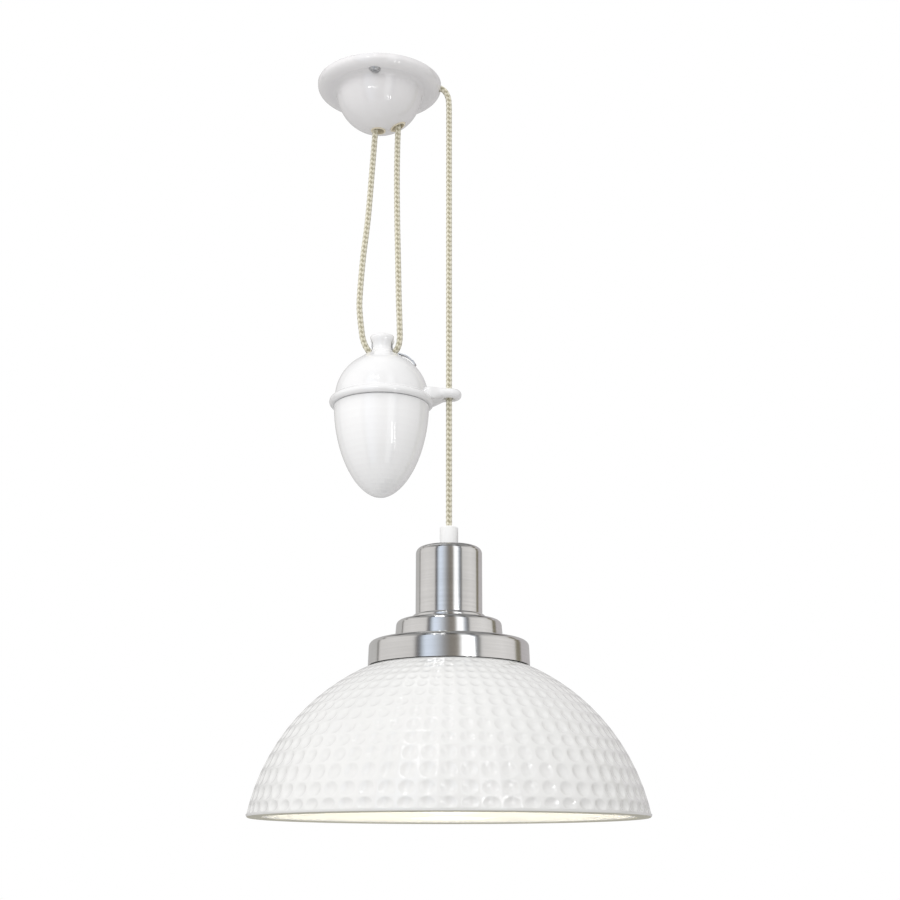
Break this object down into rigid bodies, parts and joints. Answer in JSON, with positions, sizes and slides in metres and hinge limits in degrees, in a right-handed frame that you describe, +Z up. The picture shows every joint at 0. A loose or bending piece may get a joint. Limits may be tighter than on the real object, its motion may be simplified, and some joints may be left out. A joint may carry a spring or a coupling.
{
  "type": "rise and fall pendant",
  "caption": "Ceiling pendant with a dimpled ceramic dome shade that rises and falls on a textile cord against an egg-shaped ceramic counterweight.",
  "frame": {"origin": "middle of the ceiling rose, in the ceiling plane", "axes": "+Z up, +X from the rose towards the lamp, +Y away from the pictured side"},
  "size_m": [0.3, 0.2996, 0.6071],
  "materials": {
    "ceramic": "white glaze, glossy",
    "steel": "zinc-plated, satin",
    "aluminium": "polished, fine circular brushing",
    "brass": "satin",
    "cord": "braided cream and olive textile",
    "lining": "tan",
    "plastic": "white",
    "iron": "raw",
    "rubber": "black",
    "bulb": "frosted, lit warm white"
  },
  "bodies": {
    "ceiling": {"rose": "ceramic", "rose_bushes": "lining", "screw_cups": "steel", "fixing_screws": "steel", "ceiling_bracket": "steel", "ceiling_axle": "steel", "clamp_saddle": "plastic", "clamp_screws": "steel", "terminal_block": "plastic", "terminal_screws": "brass", "lead_cord": "cord", "rose_cord": "cord", "left_cord": "cord", "right_cord": "cord", "lamp_cord": "cord"},
    "ceiling_wheel": {"ceiling_wheel": "aluminium"},
    "counterweight": {"counterweight_cap": "ceramic", "counterweight_egg": "ceramic", "ballast": "iron", "neck_yoke": "steel", "neck_axle": "steel", "stem_nut": "steel", "cap_strip": "steel", "loop_cord": "cord"},
    "neck_wheel": {"neck_wheel": "aluminium"},
    "lamp": {"cord_grip": "plastic", "grip_nut": "steel", "holder_cord": "cord", "lamp_cover": "aluminium", "step_ring": "aluminium", "collar": "aluminium", "lampholder": "plastic", "holder_insert": "ceramic", "thread_shell": "brass", "centre_contact": "brass", "spacer_ring": "plastic", "shade": "ceramic", "shade_gasket": "rubber", "shade_ring": "plastic", "bulb_cap": "brass", "bulb_glass": "bulb"}
  },
  "joints": [
    {"name": "lamp_slide", "type": "slide", "parent": "ceiling", "child": "lamp", "axis": [0, 0, 1], "range_m": [-0.3, 0.04], "deforming": ["lamp_cord"]},
    {"name": "counterweight_slide", "type": "slide", "parent": "ceiling", "child": "counterweight", "axis": [0, 0, 1], "range_m": [-0.02, 0.15], "deforming": ["left_cord", "right_cord"]},
    {"name": "ceiling_wheel_spin", "type": "hinge", "parent": "ceiling", "child": "ceiling_wheel", "pos_m": [0.0239, 0, -0.0113], "axis": [0, 1, 0], "continuous": true},
    {"name": "neck_wheel_spin", "type": "hinge", "parent": "counterweight", "child": "neck_wheel", "pos_m": [0.005, 0, -0.2365], "axis": [0, 1, 0], "continuous": true}
  ],
  "couplings": [
    {"joint": "counterweight_slide", "follows": "lamp_slide", "ratio": -0.5},
    {"joint": "ceiling_wheel_spin", "follows": "lamp_slide", "rad_per_m": -125},
    {"joint": "neck_wheel_spin", "follows": "lamp_slide", "rad_per_m": 50}
  ]
}
